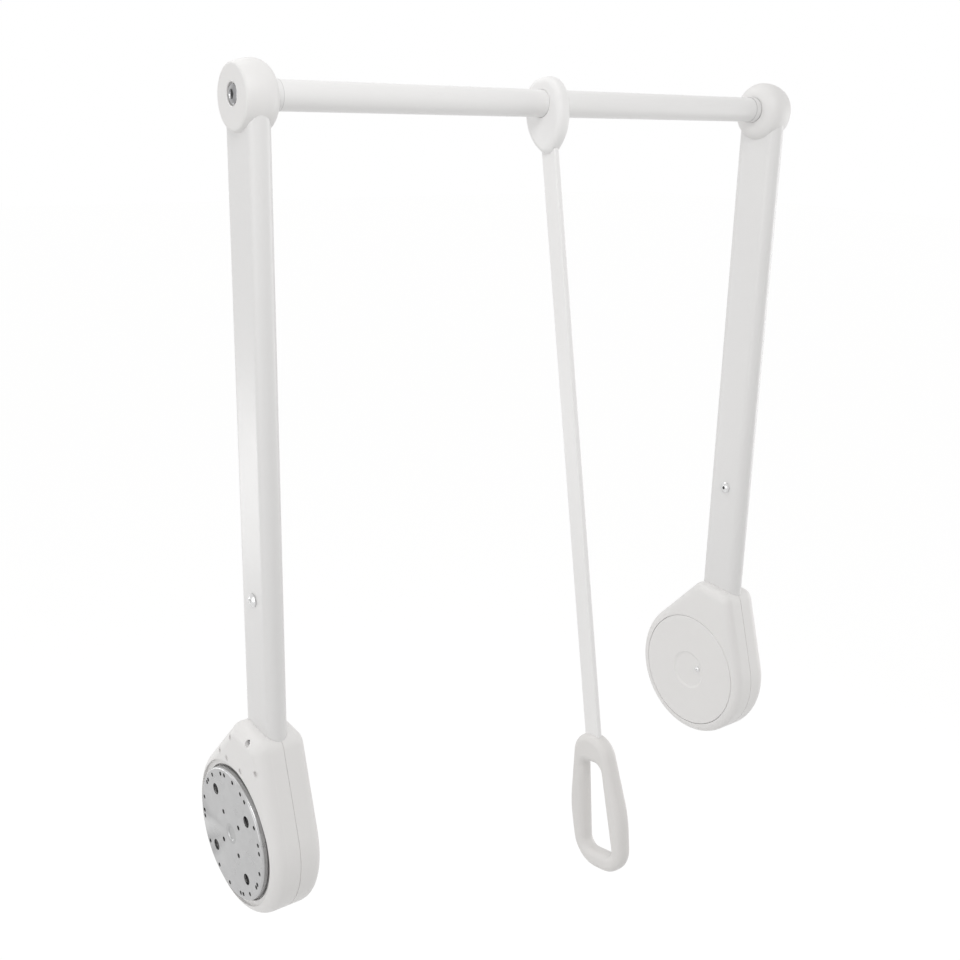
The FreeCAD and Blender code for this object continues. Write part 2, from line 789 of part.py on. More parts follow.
def make_cover_screw():
    head, shank = size.cover_screw_head, size.cover_screw_radius - size.run_gap
    seat = house_inner + size.cover_step - size.cover_dish_depth + size.run_gap
    tip = seat - size.cover_screw_long
    return turned("cover_screw", [
        (tip, ZERO), (tip, shank), (seat, shank), (seat, head),
        (seat + 0.7, head, dome(head, as_size(1.3)), 1), (seat + 2, ZERO)], (ZERO, *cover_spot))


def make_pin(label, radius, start, end, spot):
    """Plain pin along X."""
    body = new_body(label)
    layout = new_sketch(body, "YZ", start)
    add_circle(layout, radius, spot[0], spot[1])
    pad(body, layout, end - start)
    return body


def make_buffer():
    """Rubber sleeve on the stop pin, which meets the ends of the disc's slot."""
    inner = size.stop_pin_radius / 2 + size.run_gap
    body = make_pin("stop_buffer", size.stop_pin_radius, stop_from, stop_to, stop_spot)
    drilled(body, [(inner, *stop_spot)], stop_from, size.stop_thick, True)
    return body


def make_arm():
    """Flat-oval steel tube, drilled for the rail screw and the arm bolt."""
    body = new_body("arm_tube")
    section = new_sketch(body, "XY", size.arm_foot)
    inside = size.arm_wall * 2
    add_slot(section, size.arm_width, size.arm_thick, middle_arm_x, arm_y, upright=True)
    add_slot(section, size.arm_width - inside, size.arm_thick - inside, middle_arm_x, arm_y,
             upright=True)
    pad(body, section, rail_z + size.arm_over_rail - size.arm_foot)
    drilled(body, [(size.rail_screw_radius + size.run_gap, arm_y, rail_z),
                   (size.arm_bolt_radius + size.run_gap, arm_y, size.arm_bolt_height)],
            middle_arm_x - size.arm_thick, size.arm_thick * 2, True)
    drilled(body, [(size.case_screw_radius + size.run_gap, *shell_screw_spot)],
            middle_arm_x - size.arm_thick, size.arm_thick, True)
    return body


def make_arm_bolt():
    """Dome-headed bolt through the arm and the carrier's tongue."""
    head, high, shank = size.bolt_head_radius, size.bolt_head_high, size.arm_bolt_radius
    low = -(arm_flat + size.run_gap)
    return turned("arm_bolt", [
        (low - high, ZERO, dome(head, high - 0.8), 1), (low - 0.8, head), (low, head), (low, shank),
        (arm_flat + high * 0.6, shank), (arm_flat + high * 0.6, ZERO)],
        (middle_arm_x, arm_y, size.arm_bolt_height))


def make_arm_nut():
    """Round dome nut on the inner side of the arm."""
    head, high = size.bolt_head_radius, size.bolt_head_high
    low, bore = arm_flat + size.run_gap, size.arm_bolt_radius + size.run_gap
    return turned("arm_nut", [
        (low, bore), (low, head), (low + 0.8, head, dome(head, high - 0.8), 1),
        (low + high, ZERO),
        (low + high * 0.7, ZERO), (low + high * 0.7, bore)],
        (middle_arm_x, arm_y, size.arm_bolt_height))


def make_cap():
    """Corner cap: a barrel round the rail's end, a little under the rail's axis, that laps
    over the arm on all sides."""
    face, crown, inner = -size.cap_face, size.cap_crown, size.cap_inner
    body = turned("corner_cap", [
        (face, ZERO), (face, size.cap_face_radius,
                       dome(crown - face, size.cap_radius - size.cap_face_radius), 1),
        (crown, size.cap_radius, dome(inner - crown, size.cap_radius - size.cap_inner_radius), 1),
        (inner, size.cap_inner_radius), (inner, ZERO)],
        (middle_arm_x, arm_y, rail_z - size.cap_low))
    round_edges(body, 2.5, flat_at(face.number))
    rail = size.cap_low
    socket = new_sketch(body, "XY", size.arm_over_rail + size.run_gap + rail)
    gap = size.run_gap * 2
    add_slot(socket, size.arm_width + gap, size.arm_thick + gap, upright=True)
    pocket(body, socket, size.cap_radius * 2)
    drilled(body, [(size.rail_radius + size.run_gap, ZERO, rail)], inner, inner - arm_flat)
    drilled(body, [(size.cap_well_radius, ZERO, rail)], face, size.cap_well_depth, True)
    well, mouth = size.cap_well_radius.number, size.rail_radius.number + size.run_gap.number
    round_edges(body, size.cap_well_round, lambda edge: flat_at(face.number)(edge)
                and is_circle(edge, well))
    round_edges(body, size.cap_well_round, lambda edge: flat_at(inner.number)(edge)
                and is_circle(edge, mouth))
    drilled(body, [(size.rail_screw_radius + size.run_gap, ZERO, rail)], face,
            size.cap_face, True)
    return body


def make_rail_screw():
    """Screw on the rail's axis, through cap and arm into the rail's plug."""
    head, shank = size.rail_screw_head, size.rail_screw_radius
    seat = size.cap_well_depth - size.cap_face - size.run_gap
    return turned("rail_screw", [
        (seat - 2.4, ZERO, dome(head, as_size(1.5)), 1), (seat - 0.9, head), (seat, head), (seat, shank),
        (arm_flat + size.plug_long * 0.7, shank), (arm_flat + size.plug_long * 0.7, ZERO)],
        (middle_arm_x, arm_y, rail_z))


def make_plug():
    """Plug in the rail's end that the screw bites into."""
    outer = size.rail_radius - size.rail_wall - size.run_gap
    bore = size.rail_screw_radius + size.run_gap
    low = arm_flat + size.run_gap
    return turned("rail_plug", [
        (low, bore), (low, outer), (low + size.plug_long, outer), (low + size.plug_long, bore)],
        (middle_arm_x, arm_y, rail_z))


def make_collar():
    """Thin ring that closes the gap between the cap and the rail."""
    inner = size.rail_radius + size.run_gap
    outer = size.rail_radius + size.rail_collar_thick
    low = size.cap_inner + size.rail_collar_gap
    return turned("rail_collar", [
        (low, inner), (low, outer), (low + size.rail_collar_long, outer),
        (low + size.rail_collar_long, inner)], (middle_arm_x, arm_y, rail_z))


# ---------------------------------------------------------------- rail and pull bar

def make_tube(label, outer, wall, start, end):
    body = new_body(label, (ZERO, arm_y, rail_z))
    section = new_sketch(body, "YZ", start)
    add_circle(section, outer)
    add_circle(section, outer - wall)
    pad(body, section, end - start)
    return body


def bar_body(label):
    """A body that hangs from the rail and leans with the pull bar."""
    return new_body(label, (middle_x, arm_y, rail_z), size.bar_lean)


def make_hook():
    """Drop shaped loop round the rail, with the bar let into its tip."""
    body = bar_body("pull_hook")
    wide, tip, thick = size.hook_wide / 2, size.hook_tip_wide / 2, size.hook_thick
    outline = new_sketch(body, "YZ", -(thick / 2))
    add_outline(outline, rounded([
        (wide, size.hook_top, size.hook_top_round), (-wide, size.hook_top, size.hook_top_round),
        (-wide, -size.hook_waist, size.hook_flank_round),
        (-tip, -size.hook_drop, size.hook_tip_round), (tip, -size.hook_drop, size.hook_tip_round),
        (wide, -size.hook_waist, size.hook_flank_round)]))
    pad(body, outline, thick)
    half = thick.number / 2
    round_edges(body, size.hook_round, lambda edge: flat_at(half)(edge) or flat_at(-half)(edge))
    drilled(body, [(size.rail_radius + size.run_gap, ZERO, ZERO)], thick, thick * 2)
    mouth = size.rail_radius.number + size.run_gap.number
    round_edges(body, size.hook_mouth_round, lambda edge: is_circle(edge, mouth)
                and (flat_at(half)(edge) or flat_at(-half)(edge)))
    cut_bar_seat(body, -size.bar_top, size.hook_drop)
    return body


def cut_bar_seat(body, top, long):
    """The pocket in which an end of the flat bar sits."""
    seat = new_sketch(body, "XY", top)
    rectangle(seat, size.bar_thick, size.bar_wide, size.run_gap)
    pocket(body, seat, long)


def rectangle(sketch, wide, high, grow=ZERO):
    x, y = wide / 2 + grow, high / 2 + grow
    add_outline(sketch, [(-x, -y), (x, -y), (x, y), (-x, y)])


def make_bar():
    """Flat bar from the hook's nose to the handle."""
    body = bar_body("pull_bar")
    end = size.handle_top + size.bar_in_handle
    section = new_sketch(body, "XY", -end)
    rectangle(section, size.bar_thick, size.bar_wide)
    pad(body, section, end - size.bar_top)
    round_edges(body, size.bar_round, lambda edge: edge.BoundBox.ZLength > 100)
    return body


def make_handle():
    """Loop handle in the bar's plane, widening downwards."""
    body = bar_body("pull_handle")
    top, thick = size.handle_top, size.handle_thick
    shoulder, half = size.handle_shoulder_wide / 2, size.handle_wide / 2
    bottom, side_z = -(top + size.handle_long), -(top + size.handle_side_drop)
    foot = size.handle_foot_wide / 2
    bend, side, corner = size.handle_shoulder, size.handle_side_bend, size.handle_corner
    outline = new_sketch(body, "YZ", -(thick / 2))
    add_outline(outline, rounded([
        (shoulder, -top, bend), (-shoulder, -top, bend), (-half, side_z, side),
        (-foot, bottom, corner), (foot, bottom, corner), (half, side_z, side)]))
    grip_top, grip = size.grip_top_wide / 2, size.grip_wide / 2
    high_z, low_z = -(top + size.grip_drop), bottom + size.grip_bar
    add_outline(outline, rounded([
        (grip_top, high_z, size.grip_corner), (-grip_top, high_z, size.grip_corner),
        (-grip, low_z, size.grip_corner), (grip, low_z, size.grip_corner)]))
    pad(body, outline, thick)
    side = thick.number / 2
    round_edges(body, size.handle_round,
                lambda edge: flat_at(side)(edge) or flat_at(-side)(edge))
    seat_top = -(top - 1)
    cut_bar_seat(body, seat_top, size.bar_in_handle + 1)
    return body


# ---------------------------------------------------------------- assembly

both_sides(make_plate(), "mounting_plate")
both_sides(make_shaft(), "pivot_shaft")
both_sides(make_stop_disc(), "stop_disc")
both_sides(sleeve("spring_arbor", size.shaft_radius + size.run_gap, size.arbor_radius,
                  arbor_from, arbor_to), "spring_arbor")
both_sides(sleeve("shaft_clip", size.shaft_radius - 1 + size.run_gap, size.shaft_flange,
                  clip_from, clip_from + size.clip_thick), "shaft_clip")
both_sides(sleeve("pivot_bush", size.shaft_radius + size.run_gap,
                  size.shaft_radius + size.bush_wall, hub_from, hub_to), "pivot_bush")
both_sides(make_carrier(), "arm_carrier")
both_sides(make_spring(), "power_spring")
both_sides(make_pin("spring_post", size.post_radius, middle_arm_x,
                    spring_from + size.spring_wide + size.free_gap, post_spot), "spring_post")
both_sides(make_pin("stop_pin", size.stop_pin_radius / 2, stop_from, pin_end, stop_spot),
           "stop_pin")
both_sides(make_buffer(), "stop_buffer")
both_sides(make_outer_shell(), "housing_outer")
both_sides(make_inner_shell(), "housing_inner")
both_sides(make_cover(), "round_cover")
both_sides(make_cover_screw(), "cover_screw")
both_sides(make_case_screws(), "case_screws")
both_sides(make_shell_screw(), "shell_screw")
both_sides(make_arm(), "arm_tube")
both_sides(make_arm_bolt(), "arm_bolt")
both_sides(make_arm_nut(), "arm_nut")
both_sides(make_cap(), "corner_cap")
both_sides(make_rail_screw(), "rail_screw")
both_sides(make_plug(), "rail_plug")
both_sides(make_collar(), "rail_collar")
keep(make_tube("rail_tube_left", size.rail_radius, size.rail_wall, rail_start, seam_x))
far_end = middle_x * 2 - rail_start
keep(make_tube("rail_tube_right", size.rail_radius, size.rail_wall, seam_x, far_end))
keep(make_tube("rail_inner_tube", size.rail_radius - size.rail_wall - size.run_gap,
               size.inner_tube_wall, seam_x - size.inner_tube_each_way,
               seam_x + size.inner_tube_each_way))
keep(make_hook())
keep(make_bar())
keep(make_handle())
doc.recompute()

for item in doc.Objects:
    if "Invalid" in item.State or "Error" in item.State:
        raise RuntimeError(item.Label + " failed: " + ", ".join(item.State))
os.makedirs("parts", exist_ok=True)
for piece in pieces:
    if piece.Shape.isNull() or not piece.Shape.isValid():
        raise RuntimeError(piece.Label + " has no valid shape")
for piece in pieces:
    piece.Shape.exportStep("parts/" + piece.Label + ".step")
    box = piece.Shape.BoundBox
    print(piece.Label, len(piece.Shape.Solids), round(piece.Shape.Volume),
          [round(v, 1) for v in (box.XMin, box.YMin, box.ZMin, box.XMax, box.YMax, box.ZMax)])
print(len(pieces), "pieces")
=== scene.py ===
# %% [markdown]
# # A pull down wardrobe rail
# Two painted arms stand on sprung housings and carry a rail between them. A bar with a
# handle hangs from the rail, to pull it down. The solids arrive finished from the CAD
# model, so this lesson gives them their finishes, models the fasteners by hand and lights
# the whole thing. Every length here is in metres.

# %% Load the solids
import bpy, json, math
from mathutils import Matrix, Vector

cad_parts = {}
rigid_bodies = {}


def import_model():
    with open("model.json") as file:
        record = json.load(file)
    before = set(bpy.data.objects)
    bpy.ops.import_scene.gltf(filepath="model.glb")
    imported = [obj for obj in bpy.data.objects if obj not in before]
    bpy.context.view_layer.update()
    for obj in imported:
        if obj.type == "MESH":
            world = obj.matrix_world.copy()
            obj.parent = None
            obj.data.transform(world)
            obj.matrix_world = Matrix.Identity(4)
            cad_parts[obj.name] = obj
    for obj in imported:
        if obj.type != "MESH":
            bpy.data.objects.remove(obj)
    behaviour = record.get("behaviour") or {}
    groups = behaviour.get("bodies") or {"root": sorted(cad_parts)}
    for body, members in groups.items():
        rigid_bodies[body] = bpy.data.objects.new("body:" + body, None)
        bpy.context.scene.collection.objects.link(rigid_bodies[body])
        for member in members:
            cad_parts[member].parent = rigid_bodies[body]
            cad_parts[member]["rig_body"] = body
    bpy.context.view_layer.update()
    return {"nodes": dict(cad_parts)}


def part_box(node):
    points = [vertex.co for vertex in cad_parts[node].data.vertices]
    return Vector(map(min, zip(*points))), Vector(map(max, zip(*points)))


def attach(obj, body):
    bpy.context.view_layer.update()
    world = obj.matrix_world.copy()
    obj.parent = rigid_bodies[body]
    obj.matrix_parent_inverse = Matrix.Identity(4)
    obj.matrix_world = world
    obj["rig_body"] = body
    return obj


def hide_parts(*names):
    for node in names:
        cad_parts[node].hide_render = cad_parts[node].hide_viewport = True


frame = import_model()
solids = frame["nodes"]
SIDES = ("left", "right")

# %% [markdown]
# ## The camera
# The lift is wide and thin, so it is seen best a little from the left and from above, with
# a normal lens about a metre away. The camera could be aimed with a Track To constraint,
# but a small turn around its own axis is wanted too, so its three axes are worked out and
# written as a matrix.

# %% Place the camera
def look_from(place, turn, tilt, roll):
    """The camera's matrix: turned from +Y towards +X, tilted down and rolled, in degrees."""
    turn, tilt, roll = (math.radians(angle) for angle in (turn, tilt, roll))
    ahead = Vector((math.sin(turn) * math.cos(tilt),
                    math.cos(turn) * math.cos(tilt),
                    -math.sin(tilt)))
    right = Vector((math.cos(turn), -math.sin(turn), 0))
    down = ahead.cross(right)
    across = right * math.cos(roll) + down * math.sin(roll)
    up = right * math.sin(roll) - down * math.cos(roll)
    return Matrix.Translation(place) @ Matrix((across, up, -ahead)).transposed().to_4x4()

lens = bpy.data.cameras.new("camera")
lens.sensor_width, lens.lens = 36, 45.35  # millimetres
lens.clip_end = 50
camera = bpy.data.objects.new("camera", lens)
camera.matrix_world = look_from(
    place=(-0.4307, -0.9340, 0.6625), turn=37.62, tilt=16.9, roll=-1.38)
bpy.context.collection.objects.link(camera)
bpy.context.scene.camera = camera
bpy.context.scene.view_settings.view_transform = "Standard"
looks_along = camera.matrix_world.to_3x3() @ Vector((0, 0, -1))
print("camera looks along", [round(value, 3) for value in looks_along])

# %% [markdown]
# ## Wires instead of node trees
# A finish is a tree of nodes, but its maths reads best as sums. `Wire` holds one output
# of a node, and adding, subtracting or multiplying wires adds the Math node. `NodeTree`
# holds the tree, and its one method makes every other kind of node.

# %% Wires and node trees
class Wire:
    """An output of a node. A sum with it adds a Math node."""
    def __init__(self, tree, socket):
        self.tree, self.socket = tree, socket
    def __add__(self, other): return self.tree.maths("ADD", self, other)
    def __sub__(self, other): return self.tree.maths("SUBTRACT", self, other)
    def __rsub__(self, other): return self.tree.maths("SUBTRACT", other, self)
    def __mul__(self, other): return self.tree.maths("MULTIPLY", self, other)
    __radd__, __rmul__ = __add__, __mul__


def pick(sockets, wanted):
    """The socket with this name or number, among those that the node uses."""
    used = [socket for socket in sockets if socket.enabled]
    if isinstance(wanted, int):
        return used[wanted]
    return next(socket for socket in used if socket.name == wanted)


def set_stops(ramp, stops):
    """Give a colour ramp these stops, each a place and a shade of grey."""
    for place, _ in stops[1:-1]:
        ramp.elements.new(place)
    ramp.elements[0].position, ramp.elements[-1].position = stops[0][0], stops[-1][0]
    for element, (_, shade) in zip(ramp.elements, stops):
        element.color = (shade, shade, shade, 1)


class NodeTree:
    """A tree that is built up node by node."""
    def __init__(self, tree):
        self.tree = tree

    def node(self, kind, settings=None, inputs=None, output=0):
        """Add a node, make its settings, fill its inputs and hand over one output."""
        node = self.tree.nodes.new(kind)
        for name, value in (settings or {}).items():
            if name == "stops":
                set_stops(node.color_ramp, value)
            else:
                setattr(node, name, value)
        for name, value in (inputs or {}).items():
            self.join(value, pick(node.inputs, name))
        return Wire(self, pick(node.outputs, output))

    def join(self, value, socket):
        """Lead a wire into a socket, or set the socket to a plain value."""
        if isinstance(value, Wire):
            self.tree.links.new(value.socket, socket)
        else:
            socket.default_value = value

    def maths(self, operation, *values):
        return self.node("ShaderNodeMath", {"operation": operation}, dict(enumerate(values)))

    def seen_by(self, *rays):
        """1 for these kinds of ray and 0 for all others."""
        seen = 0
        for ray in rays:
            hit = self.node("ShaderNodeLightPath", output=f"Is {ray} Ray")
            seen = self.maths("MAXIMUM", hit, seen)
        return seen

# %% [markdown]
# ## What every finish needs
# A `Finish` is the tree of a material. Its patterns read Object coordinates, which are
# metres here, because each solid's own origin is that of the whole lift. So a noise is
# asked for by the size of its clouds, and a mark by its distance from a line or a plane.

# %% Finish
class Finish(NodeTree):
    """A material, whose tree ends in a Principled shader."""
    def __init__(self, name, **constants):
        self.material = bpy.data.materials.new(name)
        self.material.use_nodes = True
        super().__init__(self.material.node_tree)
        self.shader = self.tree.nodes["Principled BSDF"]
        self.fill(constants)

    def fill(self, values):
        for name, value in values.items():
            self.join(value, self.shader.inputs[name.replace("_", " ")])

    def feed(self, **wires):
        """Lead the wires into the shader and hand over the material."""
        self.fill(wires)
        print(self.material.name, "has", len(self.tree.nodes), "nodes")
        return self.material

    def place(self, stretch=(1, 1, 1)):
        """Where a point of the surface is, times stretch along each axis."""
        spot = self.node("ShaderNodeTexCoord", output="Object")
        return self.node("ShaderNodeMapping", None, {"Vector": spot, "Scale": stretch})

    def along(self, axis):
        """How far along this axis a point is."""
        return self.node("ShaderNodeSeparateXYZ", None, {"Vector": self.place()}, output=axis)

    def from_plane(self, x):
        """How far a point is from the plane that stands across X here."""
        return self.maths("ABSOLUTE", self.along("X") - x)

    def from_line(self, y=0, z=0):
        """How far a point is from the line that runs along X here."""
        return self.node("ShaderNodeVectorMath", {"operation": "DISTANCE"}, {
            0: self.place(stretch=(0, 1, 1)), 1: (0, y, z)})

    def noise(self, size, detail=2.0, rough=0.5, stretch=(1, 1, 1)):
        """Soft cloudy values around a half, with clouds of about this size."""
        return self.node("ShaderNodeTexNoise", None, {
            "Vector": self.place(stretch), "Scale": 1 / size,
            "Detail": detail, "Roughness": rough})

    def fit(self, value, given, wanted):
        """The given range becomes the wanted one, and what lies past its ends stops there."""
        return self.node("ShaderNodeMapRange", None, {
            "Value": value, "From Min": given[0], "From Max": given[1],
            "To Min": wanted[0], "To Max": wanted[1]})

    def blend(self, amount, first, second):
        """The first colour where amount is 0, the second where it is 1."""
        return self.node("ShaderNodeMix", {"data_type": "RGBA"}, {
            "Factor": amount, "A": first, "B": second})

    def bump(self, height, deep, strength, under=None):
        """Dent the surface by height times deep, on top of the bump that lies under it."""
        inputs = {"Height": height, "Distance": deep, "Strength": strength}
        if under:
            inputs["Normal"] = under
        return self.node("ShaderNodeBump", None, inputs)

# %% [markdown]
# ## White powder coat
# The arms and the rail are steel tube and the pull bar is aluminium, all with a white
# powder coat. Powder melts and flows in the oven, so its skin is semi-gloss with a faint
# orange peel about a millimetre across, and it is never quite even. A very small bump and
# a slow drift of colour and roughness make that; a flat white would look like card. The
# one white comes in three shades, as painted light and shade: the arms darker, the rail
# and the bar lighter.

# %% Powder coat
def grey(value, warm=0.0):
    """A nearly neutral colour, made a little warm."""
    return (value + warm, value, value - warm, 1)

def powder_coat(name, shade):
    """Semi-gloss white over an orange peel, with fine nibs of dirt in it."""
    coat = Finish(name, Coat_Weight=0.18, Coat_Roughness=0.22, Specular_IOR_Level=0.5)
    drift = coat.noise(size=0.09)
    peel = coat.noise(size=0.0016)
    nibs = coat.noise(size=0.0006, detail=1)
    orange_peel = coat.bump(peel, deep=0.00006, strength=0.35)
    return coat.feed(
        Base_Color=coat.blend(drift, grey(shade - 0.012, 0.004), grey(shade + 0.008, 0.002)),
        Roughness=coat.fit(drift + peel * 0.5, (0.4, 1.0), (0.34, 0.46)),
        Normal=coat.bump(nibs, deep=0.00002, strength=0.4, under=orange_peel))

# The three shades are painted light and shade: the arms darker, the rail and the bar lighter.
arm_coat = powder_coat("white_powder_coat", shade=0.765)
rail_coat = powder_coat("white_rail_coat", shade=0.84)
bar_coat = powder_coat("white_coat_on_aluminium", shade=0.86)

# %% [markdown]
# ## Moulded plastic
# The housings, caps, hook and handle are moulded. The mould's faces are spark eroded,
# which leaves a fine even grain that scatters the light, so they are duller than the
# painted tubes. Thick spots draw in as they cool, so the broad faces are very slightly
# wavy. Two noises, one fine and one broad, give both. Where the mould's halves meet they
# leave a seam, which is a narrow ridge. The shallow marks that the ejector pins leave near
# the top of each housing get painted shade, and the gap at each end of a rail collar a
# painted shadow line. Both are too fine to model, so the colour darkens there.

# %% Satin plastic
# How far from its middle each of these starts to fade, and how far out it ends.
PIN_MARK_SHADE_EDGE = (0.0020, 0.0040)
GAP_SHADOW_EDGE = (0.0002, 0.0005)
SEAM_EDGE = (0.00005, 0.00022)

def moulded(name, shade, warm=0.003, rough=0.44, marks=(), gaps=(), seam=None):
    """Satin plastic, with painted shade in marks at some (y, z), a painted shadow at gaps at
    some x, and a seam at one x.
    """
    plastic = Finish(name, Specular_IOR_Level=0.32)
    grain = plastic.noise(size=0.00045, rough=0.6)
    wave = plastic.noise(size=0.028, detail=1)
    cloud = plastic.noise(size=0.05, detail=3)
    colour = plastic.blend(cloud, grey(shade - 0.014, warm), grey(shade + 0.008, warm))
    # Painted shade in the hollow of each ejector pin mark.
    for y, z in marks:
        pin_mark_shade = plastic.fit(plastic.from_line(y, z), PIN_MARK_SHADE_EDGE, (0.38, 0))
        colour = plastic.blend(pin_mark_shade, colour, grey(shade * 0.6, warm))
    # A painted shadow line at each gap.
    for x in gaps:
        shadow = plastic.fit(plastic.from_plane(x), GAP_SHADOW_EDGE, (0.6, 0))
        colour = plastic.blend(shadow, colour, grey(shade * 0.5, warm))
    sunk = plastic.bump(wave, deep=0.0004, strength=0.25)
    skin = plastic.bump(grain, deep=0.00003, strength=0.5, under=sunk)
    if seam is not None:
        ridge = plastic.fit(plastic.from_plane(seam), SEAM_EDGE, (1, 0))
        skin = plastic.bump(ridge, deep=0.0001, strength=0.7, under=skin)
    return plastic.feed(
        Base_Color=colour,
        Roughness=plastic.fit(cloud + grain * 0.4, (0.4, 1.0), (rough - 0.05, rough + 0.07)),
        Normal=skin)

# %% The plastics
# Where the ejector pins were, in Y and Z, above the plate of each housing.
PIN_MARKS = ((-0.0186, 0.0747), (0.0093, 0.0754), (-0.0485, 0.0862),
             (0.0013, 0.1010), (0.0249, 0.0766))
collar_ends = [corner[0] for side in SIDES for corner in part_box(f"rail_collar_{side}")]
hook_middle = sum(corner[0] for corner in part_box("pull_hook")) / 2
print("collars end at x =", [round(x, 4) for x in collar_ends])
print("hook and handle have their seam at x =", round(hook_middle, 4))

white_plastic = moulded("white_moulded_plastic", shade=0.81, warm=0.008)
# The wall-side shells get painted shade in their pin marks.
pin_shaded_plastic = moulded("white_marked_plastic", shade=0.81, warm=0.008, marks=PIN_MARKS)
# The collars get a painted shadow line at each end.
collar_shadow_plastic = moulded("white_collar_plastic", shade=0.81, gaps=collar_ends)
# The caps and the handle are painted darker and the hook lighter than the other white plastic,
# as painted shade and light.
cap_plastic = moulded("white_cap_plastic", shade=0.795, warm=0.006)
hook_plastic = moulded("white_hook_plastic", shade=0.86, seam=hook_middle)
handle_plastic = moulded("white_handle_plastic", shade=0.745, warm=0.012, seam=hook_middle)
grey_plastic = moulded("grey_bearing_plastic", shade=0.16, warm=0, rough=0.38)

# %% [markdown]
# ## Galvanised sheet
# The mounting plate is pressed from galvanised sheet. Zinc freezes in flat crystals, the
# spangle, each tilted its own way, so neighbours catch the light differently. A Voronoi
# texture gives one random value to each crystal, and that value moves the colour, the
# roughness and, a very little, the normal. Rolling leaves long faint lines. Soft wedges of
# painted reflection, as on a spun rim, run out from the middle: a ramp over the angle
# round the X axis holds them in the colour, and they fade towards the middle.

# %% Galvanised plate
# Painted reflection in the colour: its level between the wedges, and its ramp through them.
PAINTED_EVEN_SHEEN = 0.55
# The angle runs from 0 at the front, under to the back at 0.5, and over the top to 1.
PAINTED_SPUN_SHEEN = (
    (0.0, PAINTED_EVEN_SHEEN), (0.33, 0.5), (0.37, 0.6), (0.392, 0.1), (0.41, 0.45),
    (0.424, 0.1), (0.445, 0.6), (0.475, 0.95), (0.495, 0.65), (0.51, 0.1),
    (0.545, 0.5), (0.76, 0.6), (0.9, 0.5), (1.0, PAINTED_EVEN_SHEEN))
CRYSTALS = 150.0  # in a metre

def galvanised(name):
    """Spangled sheet with rolling lines along Y and wedges of painted reflection round the X
    axis.
    """
    zinc = Finish(name, Metallic=1.0, Specular_IOR_Level=0.5)
    ragged = zinc.node("ShaderNodeVectorMath", {"operation": "MULTIPLY_ADD"}, {
        0: zinc.noise(size=0.010), 1: (0.006, 0.006, 0.006), 2: zinc.place((0.15, 1, 1))})
    crystal = zinc.node("ShaderNodeTexVoronoi", None, {
        "Vector": ragged, "Scale": CRYSTALS, "Randomness": 1.0}, output="Color")
    tone = zinc.node("ShaderNodeSeparateColor", None, {"Color": crystal})
    cloud = zinc.noise(size=0.03, detail=3)
    rolled = zinc.noise(size=0.0012, detail=3, stretch=(1, 0.04, 1))
    # Wedges of painted reflection round the X axis, faded towards the middle.
    turn = zinc.maths("ARCTAN2", zinc.along("Z"), zinc.along("Y")) * (0.5 / math.pi) + 0.5
    painted_wedge = zinc.node("ShaderNodeValToRGB", {"stops": PAINTED_SPUN_SHEEN}, {"Fac": turn + cloud * 0.04})
    reach = zinc.fit(zinc.from_line(), (0.012, 0.055), (0, 1))
    painted_sheen = (painted_wedge - PAINTED_EVEN_SHEEN) * reach + PAINTED_EVEN_SHEEN
    facets = zinc.bump(tone + cloud, deep=0.0001, strength=0.18)
    return zinc.feed(
        Base_Color=zinc.blend(tone * 0.15 + cloud * 0.25 + painted_sheen * 0.6,
                              (0.28, 0.28, 0.283, 1), (0.70, 0.70, 0.70, 1)),
        Roughness=zinc.fit(tone + cloud + rolled * 0.5, (0.5, 1.9), (0.24, 0.46)),
        Normal=zinc.bump(rolled, deep=0.00002, strength=0.3, under=facets))

zinc_sheet = galvanised("galvanised_sheet")

# %% [markdown]
# ## Turned, sprung, plated and cast metal
# Steel from a lathe carries fine rings around its axis, so its pattern follows the
# distance from the X axis that every shaft here turns on. The other metals share one
# recipe, a stain that drifts between two colours over a grain. Spring strip is blued by
# its heat treatment and slightly oily. Screws are bright zinc, and bolts and cover screws
# pale nickel. The carriers are die cast, with a dull, sandy skin, and the rail's inner
# tube is drawn, so its grain runs along it.

# %% Metals
TOOL_MARKS = 2600.0  # in a metre

def turned_steel(name):
    """Bright steel with the rings of a lathe round the X axis."""
    steel = Finish(name, Metallic=1.0)
    rings = steel.node("ShaderNodeTexNoise", {"noise_dimensions": "1D"}, {
        "W": steel.from_line(), "Scale": TOOL_MARKS, "Detail": 2.0})
    stain = steel.noise(size=0.012, detail=3)
    return steel.feed(
        Base_Color=steel.blend(stain, (0.38, 0.385, 0.39, 1), (0.52, 0.52, 0.515, 1)),
        Roughness=steel.fit(rings + stain, (0.6, 1.4), (0.3, 0.48)),
        Normal=steel.bump(rings, deep=0.00003, strength=0.4))


def metal(name, dark, light, gloss, grain, deep, stretch=(1, 1, 1)):
    """A stain between dark and light over a grain of this size and depth. Gloss is the
    lowest and the highest roughness."""
    steel = Finish(name, Metallic=1.0)
    stain = steel.noise(size=0.008, detail=3)
    skin = steel.noise(grain, detail=3, rough=0.6, stretch=stretch)
    return steel.feed(
        Base_Color=steel.blend(stain, (*dark, 1), (*light, 1)),
        Roughness=steel.fit(stain + skin * 0.6, (0.45, 1.1), gloss),
        Normal=steel.bump(skin, deep, strength=0.5))

shaft_steel = turned_steel("turned_steel")
blue_spring = metal(
    "blued_spring_strip", dark=(0.05, 0.055, 0.08), light=(0.16, 0.16, 0.19),
    gloss=(0.24, 0.42), grain=0.0006, deep=0.00002)
